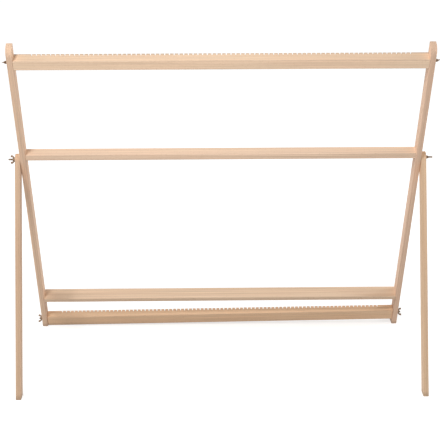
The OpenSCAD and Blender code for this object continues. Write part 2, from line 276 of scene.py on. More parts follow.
@dataclass(frozen=True)
class Beech:
    """Planed, unvarnished beech: pale pinkish tan with soft growth rings and short darker ray flecks.

    The pattern is built as a tree grows. Each point of the board gets its distance along the grain, its
    distance from the heart of the tree and its place round the heart, so that a face cut along the rings
    shows arches, one cut across them shows lines, and the ends show arcs. Real flecks are about 0.4 mm
    wide and real fibres far finer, too fine for the render, so both are drawn a few times as coarse.

    Sizes of a pattern are given along the grain, towards the heart and round it. Gains multiply the linear
    red, green and blue of the board's colour.

    Attributes:
        place: where the board lies.
        section_mm: size of its section along its own y and z.
        heart_mm: the heart of the tree from the board's middle line, along y and z.
        shift_mm: how far along the log the board was cut, so that no two boards look alike.
        body: colour of the board as a whole.
        early: gains where the wood grew in spring.
        late: gains where it grew in autumn.
        ray: gains in the flecks.
        rosy: gains in the rosier stretches of a board.
        ring_mm: distance between growth rings.
        summer_mm: size of the runs of good and bad summers, which make rings wider and narrower.
        bend_mm: size of the trunk's bends.
        bend_depth_mm: how far they move the grain.
        streak_mm: size of the soft streaks.
        fibre_mm: size of the fibres.
        patch_mm: size of the rosier stretches.
        ray_mm: spacing of the flecks.
        ring_share: how far the autumn wood takes its colour.
        rosy_share: how far the rosier stretches take theirs.
        ray_share: how far the flecks take theirs.
        ground: brightness before anything is added to it.
        roughness: roughness of a planed face.
        relief_mm: depth of the grain's relief.
        soiled_mm: height up to which a foot is darker.
        rubbed_mm: width of the band along a beam's notched edge that gets painted shade or painted light.
        rubbed_gain: brightness that band adds: painted shade below 0, painted light above 0, 0 without notches.
    """

    place: Place
    section_mm: Pair
    heart_mm: Pair
    shift_mm: float
    body: str
    early: Triple = (1.04, 1.05, 1.06)
    late: Triple = (0.88, 0.82, 0.76)
    ray: Triple = (0.72, 0.62, 0.52)
    rosy: Triple = (1.0, 0.94, 0.92)
    ring_mm: float = 3.6
    summer_mm: Triple = (900.0, 11.0, 70.0)
    bend_mm: Triple = (520.0, 90.0, 90.0)
    bend_depth_mm: float = 7.0
    streak_mm: Triple = (620.0, 4.6, 4.6)
    fibre_mm: Triple = (60.0, 1.1, 1.1)
    patch_mm: Triple = (380.0, 60.0, 60.0)
    ray_mm: Triple = (9.0, 24.0, 1.5)
    ring_share: float = 0.62
    rosy_share: float = 0.45
    ray_share: float = 0.34
    ground: float = 0.64
    roughness: float = 0.62
    relief_mm: float = 0.12
    soiled_mm: float = 24.0
    rubbed_mm: float = 9.0
    rubbed_gain: float = 0.0

    def corner_mm(self) -> Triple:
        """The board's upper rear edge, from its middle line."""
        return 0.0, self.section_mm[0] / 2, self.section_mm[1] / 2

    def local_mm(self, tree: Tree) -> Socket:
        """Adds the board's own coordinates in millimetres: along the grain, its depth and its thickness."""
        log_start = self.place.origin - self.place.first * self.shift_mm * MM
        return add(tree, "Mapping", {
            0: add(tree, "TexCoord", output=OBJECT_OUTPUT), "Location": log_start,
            "Rotation": self.place.turn().to_euler(), "Scale": (MM, MM, MM),
        }, vector_type="TEXTURE")

    def drawn_out(self, tree: Tree, position: Socket, size_mm: Triple, detail: float = 3.0,
                  roughness: float = 0.55, output: int = 0) -> Socket:
        """Adds noise that is drawn out along the grain.

        Args:
            tree: the material's node tree.
            position: coordinates in millimetres, the first of them along the grain.
            size_mm: size of the pattern along each of them.
            detail: number of finer layers over the first.
            roughness: strength of each layer as a share of the one before.
            output: which output of the noise is wanted.

        Returns:
            The noise, from 0 to 1 about a middle of 0.5.
        """
        cells = add(tree, "VectorMath", {0: position, 1: size_mm}, operation="DIVIDE")
        layers = {"Detail": detail, "Roughness": roughness}
        return add(tree, "TexNoise", {"Vector": cells, "Scale": 1.0, **layers}, output)

    def growth(self, tree: Tree, local: Socket) -> Socket:
        """Adds the coordinates in which the tree grew.

        The board's own coordinates are bent a little by slow noise, because no trunk is straight. Then y and
        z give way to the distance from the heart and to the arc round it at the board's distance.

        Args:
            tree: the material's node tree.
            local: the board's own coordinates in millimetres.

        Returns:
            Millimetres along the grain, from the heart and round it.
        """
        bends = self.drawn_out(tree, local, self.bend_mm, 1.0, 0.5, COLOUR_OUTPUT)
        depth = self.bend_depth_mm
        offset = add(tree, "VectorMath", {0: bends, 1: (0.0, depth, depth), 2: (0.0, -depth / 2, -depth / 2)},
                     operation="MULTIPLY_ADD")
        bent = add(tree, "VectorMath", {0: local, 1: offset}, operation="ADD")
        centred = add(tree, "VectorMath", {0: bent, 1: (0.0, *self.heart_mm)}, operation="SUBTRACT")
        split = add(tree, "SeparateXYZ", {0: centred})
        _, across, through = split.node.outputs
        flat = add(tree, "VectorMath", {0: centred, 1: (0.0, 1.0, 1.0)}, operation="MULTIPLY")
        radius = add(tree, "VectorMath", {0: flat}, NUMBER_OUTPUT, operation="LENGTH")
        angle = add(tree, "Math", {0: through, 1: across}, operation="ARCTAN2")
        arc = add(tree, "Math", {0: angle, 1: math.hypot(*self.heart_mm)}, operation="MULTIPLY")
        return add(tree, "CombineXYZ", {0: split, 1: radius, 2: arc})

    def rings(self, tree: Tree, growth: Socket) -> Socket:
        """Adds the growth rings: 0 in spring wood, rising to 1 in autumn wood and falling off at its edge.

        Args:
            tree: the material's node tree.
            growth: the coordinates in which the tree grew.

        Returns:
            How far the wood is autumn wood, from 0 to 1.
        """
        autumn_starts, autumn_full, summers_weight = 0.35, 0.9, 1.7
        summers = self.drawn_out(tree, growth, self.summer_mm, 2.0, 0.5)
        radius = add(tree, "SeparateXYZ", {0: growth}, Y_OUTPUT)
        years = weighted(tree, summers, (radius, 1 / self.ring_mm), (summers, summers_weight))
        season = add(tree, "Math", {0: years}, operation="FRACT")
        rise = add(tree, "MapRange", {0: season, 1: autumn_starts, 2: autumn_full}, **EASED)
        fall = add(tree, "MapRange", {0: season, 1: autumn_full, 2: 1.0, **FALLING}, **EASED)
        return add(tree, "Math", {0: rise, 1: fall}, operation="MULTIPLY")

    def flecks(self, tree: Tree, growth: Socket) -> Socket:
        """Adds the ray flecks, thin sheets that stand towards the heart.

        Args:
            tree: the material's node tree.
            growth: the coordinates in which the tree grew.

        Returns:
            1 in a fleck and 0 elsewhere.
        """
        left_out_share, core, rim = 0.5, 0.16, 0.34
        cells = add(tree, "VectorMath", {0: growth, 1: self.ray_mm}, operation="DIVIDE")
        distance = add(tree, "TexVoronoi", {"Vector": cells, "Scale": 1.0})
        chance = add(tree, "SeparateXYZ", {0: distance.node.outputs[COLOUR_OUTPUT]})
        kept = add(tree, "Math", {0: chance, 1: left_out_share}, operation="GREATER_THAN")
        shape = add(tree, "MapRange", {0: distance, 1: core, 2: rim, **FALLING}, **EASED)
        return add(tree, "Math", {0: kept, 1: shape}, operation="MULTIPLY")

    def cut_faces(self, tree: Tree, local: Socket) -> tuple[Socket, Socket, Socket]:
        """Adds masks for the faces that aren't planed along the grain, and for the eased edges.

        A surface point that lies more than an easing below both pairs of planed faces can only be in a notch,
        a bore or a rounded end. A point near both pairs at once is on an edge. A point whose face looks along
        the grain is on end grain.

        Args:
            tree: the material's node tree.
            local: the board's own coordinates in millimetres.

        Returns:
            Masks of the end grain, of the sawn and bored faces, and of the eased edges.
        """
        planed_mm, sawn_mm = 0.95, 1.5
        edge_mm, face_mm = 0.4, 2.0
        slanting, square = 0.45, 0.9
        absolute = add(tree, "VectorMath", {0: local}, operation="ABSOLUTE")
        below = add(tree, "VectorMath", {0: self.corner_mm(), 1: absolute}, operation="SUBTRACT")
        _, depth, thick = add(tree, "SeparateXYZ", {0: below}).node.outputs
        least = add(tree, "Math", {0: depth, 1: thick}, operation="MINIMUM")
        most = add(tree, "Math", {0: depth, 1: thick}, operation="MAXIMUM")
        sawn = add(tree, "MapRange", {0: least, 1: planed_mm, 2: sawn_mm}, **EASED)
        edge = add(tree, "MapRange", {0: most, 1: edge_mm, 2: face_mm, **FALLING}, **EASED)
        normal = add(tree, "TexCoord", output=NORMAL_OUTPUT)
        facing = add(tree, "VectorMath", {0: normal, 1: self.place.first}, NUMBER_OUTPUT,
                     operation="DOT_PRODUCT")
        along = add(tree, "Math", {0: facing}, operation="ABSOLUTE")
        end = add(tree, "MapRange", {0: along, 1: slanting, 2: square}, **EASED)
        return end, sawn, edge

    def foot(self, tree: Tree) -> Socket:
        """Adds a mask that darkens a board where it stands on the floor.

        Args:
            tree: the material's node tree.

        Returns:
            1 at the floor, falling to 0 at soiled_mm above it, with a ragged edge.
        """
        blotch_mm, ragged_mm, full_mm = 12, 10, 8
        position = add(tree, "TexCoord", output=OBJECT_OUTPUT)
        height = add(tree, "SeparateXYZ", {0: position}, Z_OUTPUT)
        uneven = add(tree, "TexNoise", {"Vector": position, "Scale": 1 / (blotch_mm * MM), "Detail": 2.0})
        ragged = weighted(tree, height, (uneven, ragged_mm * MM))
        return add(tree, "MapRange", {0: ragged, 1: full_mm * MM, 2: self.soiled_mm * MM, **FALLING}, **EASED)

    def rubbed_edge(self, tree: Tree, local: Socket) -> Socket:
        """Adds a mask along the board's upper rear edge, for painted shade or painted light by its gain's sign.

        Args:
            tree: the material's node tree.
            local: the board's own coordinates in millimetres.

        Returns:
            1 at the edge, falling to 0 within rubbed_mm of it.
        """
        full_share = 0.4
        section = add(tree, "VectorMath", {0: local, 1: (0.0, 1.0, 1.0)}, operation="MULTIPLY")
        away = add(tree, "VectorMath", {0: section, 1: self.corner_mm()}, NUMBER_OUTPUT, operation="DISTANCE")
        return add(tree, "MapRange", {0: away, 1: full_share * self.rubbed_mm, 2: self.rubbed_mm, **FALLING},
                   **EASED)

    def material(self, name: str) -> Material:
        """Builds the finish of the board of that name.

        The colour goes from spring wood to autumn wood, then to the rosier stretches and the flecks. Streaks
        and fibres vary its brightness. Cut grain is a little paler and rougher, the eased edges are darkened
        with painted shade, the feet are darker near the floor, and the band along a notched edge gets painted
        shade or painted light by the sign of its gain.

        Args:
            name: the board's name.

        Returns:
            The material.
        """
        material, tree = new_material(f"planed_beech_{name}")
        local = self.local_mm(tree)
        growth = self.growth(tree, local)
        rings = self.rings(tree, growth)
        flecks = self.flecks(tree, growth)
        sizes_mm = self.streak_mm, self.fibre_mm, self.patch_mm
        streaks, fibres, patches = (self.drawn_out(tree, growth, size_mm) for size_mm in sizes_mm)
        end, sawn, edge = self.cut_faces(tree, local)

        rosy_starts, rosy_full, grainy = 0.42, 0.68, 0.14
        autumn = add(tree, "Math", {0: rings, 1: self.ring_share}, operation="MULTIPLY")
        rosy = add(tree, "MapRange", {0: patches, 1: rosy_starts, 2: rosy_full, 4: self.rosy_share}, **EASED)
        rays = add(tree, "Math", {0: flecks, 1: self.ray_share}, operation="MULTIPLY")
        colour = linear(self.body, self.early)
        for share, gains in ((autumn, self.late), (rosy, self.rosy), (rays, self.ray)):
            colour = add(tree, "Mix", {MIX_SHARE: share, MIX_A: colour, MIX_B: linear(self.body, gains)},
                         **COLOUR_MIX)
        # Painted shade darkens the eased edges, and the notched-edge band adds painted shade or painted light by
        # the sign of its gain
        brightness = weighted(
            tree, self.ground, (streaks, 0.56), (fibres, 0.16), (end, 0.02), (sawn, 0.03), (edge, -0.13),
            (self.foot(tree), -0.26), (self.rubbed_edge(tree, local), self.rubbed_gain))
        rough = weighted(tree, self.roughness - grainy / 2, (fibres, grainy), (flecks, -0.08), (sawn, 0.2),
                         (end, 0.15), (edge, -0.06))
        relief = weighted(tree, fibres, (rings, 0.5))
        surface = add(tree, "BsdfPrincipled", {
            "Base Color": add(tree, "VectorMath", {0: colour, "Scale": brightness}, operation="SCALE"),
            "Roughness": rough, "IOR": 1.5,
            "Normal": add(tree, "Bump", {"Height": relief, "Distance": self.relief_mm * MM, "Strength": 0.6}),
        })
        add(tree, "OutputMaterial", {"Surface": surface})
        return material


@dataclass(frozen=True)
class Metal:
    """A plated or turned metal, mottled by its plating and rubbed brighter along its edges.

    Attributes:
        name: the finish's common name and how it was made.
        base: colour of the metal as plated.
        rubbed: colour where handling has worn the plating.
        roughness: mean roughness of the plated face.
        mottle_mm: size of the cloudy mottling.
        grain_mm: size of the fine grain in the plating.
        relief_mm: depth of that grain.
        mottle: how far the mottling changes the colour.
        cloudy: how far it changes the roughness.
        wear: how far a sharp edge takes the rubbed colour where the grain is strongest.
    """

    name: str
    base: str
    rubbed: str
    roughness: float
    mottle_mm: float = 3.5
    grain_mm: float = 0.35
    relief_mm: float = 0.03
    mottle: float = 0.35
    cloudy: float = 0.25
    wear: float = 1.5

    def material(self, worn: bool) -> Material:
        """Builds the finish.

        Args:
            worn: whether the piece has a wear attribute, which is 1 on its sharpest edges.

        Returns:
            The material.
        """
        material, tree = new_material(self.name)
        position = add(tree, "TexCoord", output=OBJECT_OUTPUT)
        clouds, grain = (
            add(tree, "TexNoise", {"Vector": position, "Scale": 1 / (size_mm * MM), "Detail": detail})
            for size_mm, detail in ((self.mottle_mm, 3.0), (self.grain_mm, 2.0)))
        cloud_starts, cloud_full = 0.35, 0.75
        share = add(tree, "MapRange", {0: clouds, 1: cloud_starts, 2: cloud_full, 4: self.mottle}, **EASED)
        if worn:
            sharp = add(tree, "Attribute", output=FACTOR_OUTPUT, attribute_name="wear")
            patchy = add(tree, "Math", {0: sharp, 1: grain}, operation="MULTIPLY")
            share = add(tree, "Math", {0: patchy, 1: self.wear, 2: share}, operation="MULTIPLY_ADD",
                        use_clamp=True)
        surface = add(tree, "BsdfPrincipled", {
            "Base Color": add(tree, "Mix", {
                MIX_SHARE: share, MIX_A: linear(self.base), MIX_B: linear(self.rubbed)}, **COLOUR_MIX),
            "Metallic": 1.0,
            "Roughness": weighted(tree, self.roughness - self.cloudy / 2, (clouds, self.cloudy)),
            "Normal": add(tree, "Bump", {"Height": grain, "Distance": self.relief_mm * MM, "Strength": 0.35}),
        })
        add(tree, "OutputMaterial", {"Surface": surface})
        return material


def grid_quads(rows: int, columns: int, looped: bool = False) -> list[list[int]]:
    """Lists the quads of a grid of points whose columns wrap round.

    Args:
        rows: number of rows.
        columns: number of points in a row.
        looped: whether the last row is joined to the first.

    Returns:
        Four numbers of points for each quad.
    """
    row, column = np.arange(rows if looped else rows - 1)[:, None], np.arange(columns)[None, :]
    next_row, next_column = (row + 1) % rows, (column + 1) % columns
    corners = ((row, column), (row, next_column), (next_row, next_column), (next_row, column))
    return np.stack([r * columns + c for r, c in corners], axis=-1).reshape(-1, 4).tolist()


@dataclass(frozen=True)
class Surface:
    """A closed surface worked out on a grid.

    Attributes:
        points: grid of points in millimetres, of shape rows by columns by 3. Columns wrap round.
        looped: True where the rows wrap round as well, as on a ring. Otherwise the first and the last row
            are closed by a point at their middle.
    """

    points: np.ndarray
    looped: bool = False

    def faces(self) -> list[list[int]]:
        """Lists the faces.

        Returns:
            A quad for each cell of the grid, and a fan of triangles round each closed end.
        """
        rows, columns = self.points.shape[:2]
        quads = grid_quads(rows, columns, self.looped)
        if self.looped:
            return quads
        ring = np.arange(columns)
        turned = np.roll(ring, -1)
        first_pole = np.full(columns, rows * columns)
        last = (rows - 1) * columns
        first_fan = np.stack([first_pole, turned, ring], axis=-1)
        last_fan = np.stack([first_pole + 1, last + ring, last + turned], axis=-1)
        return quads + first_fan.tolist() + last_fan.tolist()

    def vertices(self) -> np.ndarray:
        """Lists the vertices.

        Returns:
            The grid's points, then the middles of the first and the last row where those are closed.
        """
        flat = self.points.reshape(-1, 3)
        if self.looped:
            return flat
        return np.concatenate([flat, self.points[:1].mean(axis=1), self.points[-1:].mean(axis=1)])

    def mesh(self, name: str) -> Mesh:
        """Makes the mesh, with its faces outwards and shaded smooth.

        The faces point inwards if a . (b x c), summed over the first three corners of each, is negative.
        They are then turned round.

        Args:
            name: the mesh's name.

        Returns:
            The mesh, in millimetres and in the piece's own axes.
        """
        vertices, faces = self.vertices(), self.faces()
        corners = np.array([face[:3] for face in faces])
        a, b, c = (vertices[corners[:, i]] for i in range(3))
        if np.einsum("ij,ij->i", a, np.cross(b, c)).sum() < 0:
            faces = [face[::-1] for face in faces]
        mesh = bpy.data.meshes.new(name)
        mesh.from_pydata(vertices.tolist(), [], faces)
        mesh.polygons.foreach_set("use_smooth", np.ones(len(faces), bool))
        return mesh


def lathe(radius: np.ndarray, height: np.ndarray, angle: np.ndarray) -> np.ndarray:
    """Grid of points about z: the radius times the angle's cosine and sine, and the height."""
    radius, height, angle = np.broadcast_arrays(radius, height, angle)
    return np.stack([radius * np.cos(angle), radius * np.sin(angle), height], axis=-1)


def angles(columns: int) -> np.ndarray:
    """Even angles round a whole turn, as a row of columns."""
    return np.arange(columns)[None, :] * math.tau / columns


def turned_ring(outline: np.ndarray, columns: int) -> Surface:
    """The ring that a closed outline of radii and heights, in millimetres, makes when turned about z."""
    return Surface(lathe(outline[:, :1], outline[:, 1:], angles(columns)), looped=True)


def finish_piece(mesh: Mesh, name: str, place: Place, material: Material, *nodes: str) -> None:
    """Puts a finished mesh in its place, as the visible form of CAD nodes.

    Args:
        mesh: mesh in millimetres, in the piece's own axes.
        name: the piece's name.
        place: where the piece lies.
        material: its finish.
        nodes: the CAD nodes that it stands for, all on one body.
    """
    mesh.transform(place.matrix())
    mesh.materials.clear()
    mesh.materials.append(material)
    piece = in_scene(name, mesh)
    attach(piece, body_of(nodes[0]))
    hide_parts(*nodes)
    LOG.info("piece %s: %d faces, stands for %s", name, len(mesh.polygons), ", ".join(nodes))


def dress_node(node: str, material: Material) -> None:
    """Gives a CAD node, whose shape is right as it is, its finish.

    Args:
        node: the node's name.
        material: its finish.
    """
    materials = frame["nodes"][node].data.materials
    materials.clear()
    materials.append(material)
    LOG.info("node %s: %s", node, material.name)


def mark_wear(mesh: Mesh, sharp_mm: float = 0.05) -> None:
    """Stores how sharply each vertex stands out, as the attribute wear.

    A vertex stands out by how far it lies, along its normal, above the mean of its neighbours. The sum over
    the edges at each vertex is taken as whole arrays.

    Args:
        mesh: mesh in millimetres.
        sharp_mm: height above the neighbours that counts as fully worn.
    """
    count = len(mesh.vertices)
    points, normals = np.empty(count * 3), np.empty(count * 3)
    edges = np.empty(len(mesh.edges) * 2, int)
    mesh.vertices.foreach_get("co", points)
    mesh.vertex_normals.foreach_get("vector", normals)
    mesh.edges.foreach_get("vertices", edges)
    points, normals, edges = points.reshape(-1, 3), normals.reshape(-1, 3), edges.reshape(-1, 2)
    total, degree = np.zeros((count, 3)), np.zeros(count)
    for start, end in (edges.T, edges.T[::-1]):
        np.add.at(total, start, points[end])
        np.add.at(degree, start, 1)
    above = np.einsum("ij,ij->i", points - total / degree[:, None], normals)
    wear = mesh.attributes.new("wear", "FLOAT", "POINT")
    wear.data.foreach_set("value", np.clip(above / sharp_mm, 0, 1).astype(np.float32))


def thread_depth(height_mm: np.ndarray, angle: np.ndarray, pitch_mm: float) -> np.ndarray:
    """Depth of a screw thread below its crest, as a share of the full depth.

    The thread is one ridge wound round the rod: it climbs one pitch in a turn, so the height less the angle's
    share of a turn runs from crest to crest. The depth rises and falls evenly between them, and is cut level
    for an eighth at the crest and at the root.

    Args:
        height_mm: heights along the rod.
        angle: angles round it.
        pitch_mm: distance between crests.

    Returns:
        The depth from 0 to 1, for each height and angle.
    """
    level = 1 / 8
    phase = height_mm / pitch_mm - angle / math.tau
    wave = np.abs(2 * (phase - np.floor(phase)) - 1)
    return np.clip((wave - level) / (1 - 2 * level), 0, 1)


@dataclass(frozen=True)
class Rod:
    """A round rod along its own z, with a rolled thread and chamfered ends.

    Attributes:
        length_mm: length of the rod.
        threaded_mm: length of the thread, measured back from the rod's end.
        diameter_mm: diameter over the thread's crests.
        pitch_mm: distance between crests.
        groove_mm: depth of the thread.
        chamfer_mm: size of the chamfer at each end.
        columns: number of points round the rod.
        rows_per_pitch: number of rows in one pitch.
    """

    length_mm: float
    threaded_mm: float
    diameter_mm: float = THREAD_MM
    pitch_mm: float = 1.0
    groove_mm: float = 0.55
    chamfer_mm: float = 0.8
    columns: int = 32
    rows_per_pitch: int = 8

    def radius(self, height_mm: np.ndarray, angle: np.ndarray) -> np.ndarray:
        """Radius of the rod: its crest less the thread's groove, and never more than the chamfers leave.

        The thread runs out over two pitches where it ends short of the rod's start. Only a rod that is
        threaded all along is chamfered there too.

        Args:
            height_mm: heights along the rod.
            angle: angles round it.

        Returns:
            The radius in millimetres, for each height and angle.
        """
        start = self.length_mm - self.threaded_mm
        grown, to_end = 1.0, self.length_mm - height_mm
        if start > 0:
            grown = np.clip((height_mm - start) / (2 * self.pitch_mm), 0, 1)
        else:
            to_end = np.minimum(height_mm, to_end)
        groove = self.groove_mm * grown * thread_depth(height_mm, angle, self.pitch_mm)
        chamfered = self.diameter_mm / 2 - self.chamfer_mm + to_end
        return np.minimum(self.diameter_mm / 2 - groove, chamfered)

    def rows(self, length_mm: float) -> int:
        """Number of rows in a length of thread."""
        return int(length_mm / self.pitch_mm * self.rows_per_pitch)

    def surface(self) -> Surface:
        """The rod as a surface.

        Returns:
            At each height, a round of points at the radius above.
        """
        height = np.linspace(0, self.length_mm, self.rows(self.length_mm))[:, None]
        angle = angles(self.columns)
        return Surface(lathe(self.radius(height, angle), height, angle))


@dataclass(frozen=True)
class CarriageBolt:
    """A bolt with a domed head, a square neck that bites in the wood, and a threaded end.

    Attributes:
        shank: the round shank, from the underside of the head to the end.
        head_mm: diameter of the head.
        head_height_mm: height of the dome.
        rim_mm: height of the head's rolled rim.
        rim_inset: share of the head's radius that the rim rounds off.
        neck_mm: length of the square neck.
        blend_mm: length over which the neck turns round.
        neck_power: power of the neck's section, far above a circle's 2, so that it is a rounded square.
    """

    shank: Rod
    head_mm: float = 14.0
    head_height_mm: float = 3.3
    rim_mm: float = 0.5
    rim_inset: float = 0.015
    neck_mm: float = 3.5
    blend_mm: float = 0.8
    neck_power: float = 9.0

    def head(self) -> tuple[np.ndarray, np.ndarray]:
        """Profile of the head from its crown to the neck, as radii and heights.

        The dome is an arc of a circle through the crown and the rim, so with R for the circle's radius, h for
        the head's height and r for a radius, its height is r squared over (R + the root of R squared less r
        squared), counted down from the crown. The rim is a quarter of an ellipse under it.

        Returns:
            Radii and heights, in millimetres, with the underside at height 0.
        """
        crown, neck_share, dome_share = 0.02, 1.3, 1 - self.rim_inset
        rim_r, neck_r = self.head_mm / 2, self.shank.diameter_mm / 2 * neck_share
        arc_h = self.head_height_mm - self.rim_mm
        arc_r = (rim_r ** 2 + arc_h ** 2) / (2 * arc_h)
        dome_r = rim_r * np.sin(np.linspace(crown, 1, 16) * math.pi / 2) * dome_share
        dome_z = -self.head_height_mm + dome_r ** 2 / (arc_r + np.sqrt(arc_r ** 2 - dome_r ** 2))
        turn = np.linspace(0, math.pi / 2, 5)[1:]
        rim = rim_r * dome_share + rim_r * self.rim_inset * np.sin(turn)
        underside = np.linspace(rim_r, neck_r, 5)[1:]
        radii = np.concatenate([dome_r, rim, underside])
        heights = np.concatenate([dome_z, dome_z[-1] * np.cos(turn), np.zeros_like(underside)])
        return radii, heights

    def surface(self) -> Surface:
        """The bolt as one surface.

        Each row is a rounded square or a circle: at an angle its radius is r over the n-th root of the sum of
        the n-th powers of the angle's sine and cosine. An n of 2 is a circle, as on the head and the shank.

        Returns:
            The rows of the head, the neck and the shank.
        """
        under_head_mm, clearance, circle = 0.02, 0.995, 2
        angle = angles(self.shank.columns)
        head_r, head_z = self.head()
        neck_end = self.neck_mm + self.blend_mm
        neck_z = np.linspace(under_head_mm, neck_end, 12)
        fade = np.clip((neck_end - neck_z) / self.blend_mm, 0, 1)[:, None]
        power = circle + (self.neck_power - circle) * fade
        rounded = (np.abs(np.cos(angle)) ** power + np.abs(np.sin(angle)) ** power) ** (-1 / power)
        rows = self.shank.rows(self.shank.length_mm - neck_end)
        shank_z = np.linspace(neck_end, self.shank.length_mm, rows)[1:]
        radius = np.concatenate([
            head_r[:, None] + 0 * angle,
            self.shank.diameter_mm / 2 * rounded * clearance,
            self.shank.radius(shank_z[:, None], angle),
        ])
        height = np.concatenate([head_z, neck_z, shank_z])[:, None]
        return Surface(lathe(radius, height, angle))


@dataclass(frozen=True)
class Washer:
    """A punched flat washer, with eased edges.

    Attributes:
        outer_mm: outer diameter.
        bore_mm: diameter of the hole.
        thick_mm: thickness.
        easing_mm: radius that the punch leaves on the edges.
        columns: number of points round the washer.
    """

    outer_mm: float = 18.0
    bore_mm: float = 6.4
    thick_mm: float = 1.6
    easing_mm: float = 0.35
    columns: int = 72

    def surface(self) -> Surface:
        """The washer as a turned ring.

        Returns:
            The ring, whose section is a rectangle with a quarter circle at each corner.
        """
        turn = np.linspace(0, math.pi / 2, 5)
        cos, sin = np.cos(turn), np.sin(turn)
        e, outer, inner = self.easing_mm, self.outer_mm / 2, self.bore_mm / 2
        top = self.thick_mm - e
        radii = [outer - e + e * cos, inner + e - e * sin, inner + e - e * cos, outer - e + e * sin]
        heights = [top + e * sin, top + e * cos, e - e * sin, e - e * cos]
        return turned_ring(np.stack([np.concatenate(radii), np.concatenate(heights)], axis=-1), self.columns)


@dataclass(frozen=True)
class WingNut:
    """A forged wing nut: a turned hub with a bored, countersunk hole and two rounded wings.

    Attributes:
        base_mm: diameter of the hub at its seat.
        end_mm: diameter of the hub at its outer end.
        hub_mm: height of the hub.
        flange_mm: height of the flange at its seat.
        bore_mm: diameter of the hole.
        countersink_mm: depth and width of the chamfer at each end of the hole.
        ease_mm: size of the chamfers on the hub.
        span_mm: distance over the wings' tips.
        height_mm: height over the wings.
        tip_mm: radius of a wing's round tip.
        waist_mm: half width of a wing at its narrowest.
        root_mm: half width of a wing where it leaves the hub.
        root_thick_mm: half thickness of a wing at the hub.
        tip_thick_mm: half thickness of a wing at its tip.
        points: number of steps along a wing, and of points round it.
        voxel_mm: size of the cells in which hub and wings are fused.
        softening: how often the fused nut is smoothed.
    """

    base_mm: float = 12.0
    end_mm: float = 9.5
    hub_mm: float = 8.0
    flange_mm: float = 1.0
    bore_mm: float = 6.16
    countersink_mm: float = 0.5
    ease_mm: float = 0.5
    span_mm: float = 30.0
    height_mm: float = 15.0
    tip_mm: float = 4.0
    waist_mm: float = 2.7
    root_mm: float = 3.4
    root_thick_mm: float = 1.75
    tip_thick_mm: float = 1.25
    points: int = 28
    voxel_mm: float = 0.22
    softening: int = 6

    def hub(self) -> Surface:
        """The hub as a turned ring.

        Returns:
            The ring: a short flange, a cone and a bore with chamfered ends.
        """
        bore, base, end, top = self.bore_mm / 2, self.base_mm / 2, self.end_mm / 2, self.hub_mm
        sink, flange, ease = self.countersink_mm, self.flange_mm, self.ease_mm
        outline = np.array([
            (bore + sink, 0.0), (base - ease, 0.0), (base, ease), (base, flange),
            (base - ease, flange + ease), (end, top - ease), (end - ease, top),
            (bore + sink, top), (bore, top - sink), (bore, sink),
        ])
        return turned_ring(outline, columns=96)

    def wing(self, direction: int) -> Surface:
        """One wing as a rounded section carried along a bent path.

        The path is a quadratic curve from inside the hub's wall to the middle of the tip, and then runs
        straight for the tip's radius. At each step the section is a superellipse of power 3. Its half width
        goes from the root to the waist and on to the tip's radius, and over the tip follows a circle: the
        root of the radius squared less the distance squared. Its half thickness tapers evenly.

        Args:
            direction: 1 for the wing towards the nut's own x, -1 for the other.

        Returns:
            The wing.
        """
        waist_at, swell_from, tip_end, section_power = 1 / 1.7, 0.55, 0.995, 3
        inside_mm, bend_share, bend_rise_mm = 1.0, 0.86, 0.4
        tip = np.array([self.span_mm / 2 - self.tip_mm, self.height_mm - self.tip_mm])
        start = np.array([self.bore_mm / 2 + inside_mm, self.hub_mm / 2])
        bend = np.array([tip[0] * bend_share, self.hub_mm / 2 + bend_rise_mm])
        t = np.linspace(0, 1, self.points)[:, None]
        curve = (1 - t) ** 2 * start + 2 * t * (1 - t) * bend + t ** 2 * tip
        slope = 2 * (1 - t) * (bend - start) + 2 * t * (tip - bend)
        slope /= np.linalg.norm(slope, axis=1, keepdims=True)
        over = np.sin(np.linspace(0, 1, self.points // 2)[1:] * math.pi / 2)[:, None] * tip_end
        path = np.concatenate([curve, tip + over * self.tip_mm * slope[-1:]])
        tangent = np.concatenate([slope, np.repeat(slope[-1:], len(over), axis=0)])
        narrowing = np.sin(np.clip(t / waist_at, 0, 1) * math.pi / 2)
        swelling = np.sin(np.clip((t - swell_from) / (1 - swell_from), 0, 1) * math.pi / 2) ** 2
        width = (self.root_mm + (self.waist_mm - self.root_mm) * narrowing
                 + (self.tip_mm - self.waist_mm) * swelling)
        round_tip = np.sqrt(1 - over ** 2)
        half_width = np.concatenate([width, self.tip_mm * round_tip])
        taper = self.root_thick_mm + (self.tip_thick_mm - self.root_thick_mm) * t
        half_thick = np.concatenate([taper, self.tip_thick_mm * np.sqrt(round_tip)])
        across, through = (
            np.sign(wave) * np.abs(wave) ** (2 / section_power)
            for wave in (np.cos(angles(self.points)), np.sin(angles(self.points))))
        x = path[:, :1] + half_width * across * tangent[:, 1:]
        z = path[:, 1:] - half_width * across * tangent[:, :1]
        return Surface(np.stack([direction * x, half_thick * through, z], axis=-1))

    def mesh(self) -> Mesh:
        """Fuses the hub and the wings.

        Returns:
            One closed mesh with soft fillets, in millimetres.
        """
        vertices, faces = [], []
        for part in (self.hub().mesh("hub"), self.wing(1).mesh("wing"), self.wing(-1).mesh("wing")):
            used = len(vertices)
            vertices += [vertex.co[:] for vertex in part.vertices]
            faces += [[used + i for i in face.vertices] for face in part.polygons]
            bpy.data.meshes.remove(part)
        rough = bpy.data.meshes.new("wing_nut_parts")
        rough.from_pydata(vertices, [], faces)
        carrier = in_scene("wing_nut_parts", rough)
        fuse = carrier.modifiers.new("fuse", "REMESH")
        fuse.mode = "VOXEL"
        fuse.voxel_size = self.voxel_mm
        fuse.use_smooth_shade = True
        soften = carrier.modifiers.new("soften", "SMOOTH")
        soften.factor = 0.5
        soften.iterations = self.softening
        ready = carrier.evaluated_get(bpy.context.evaluated_depsgraph_get())
        fused = bpy.data.meshes.new_from_object(ready)
        bpy.data.objects.remove(carrier)
        bpy.data.meshes.remove(rough)
        mark_wear(fused)
        return fused


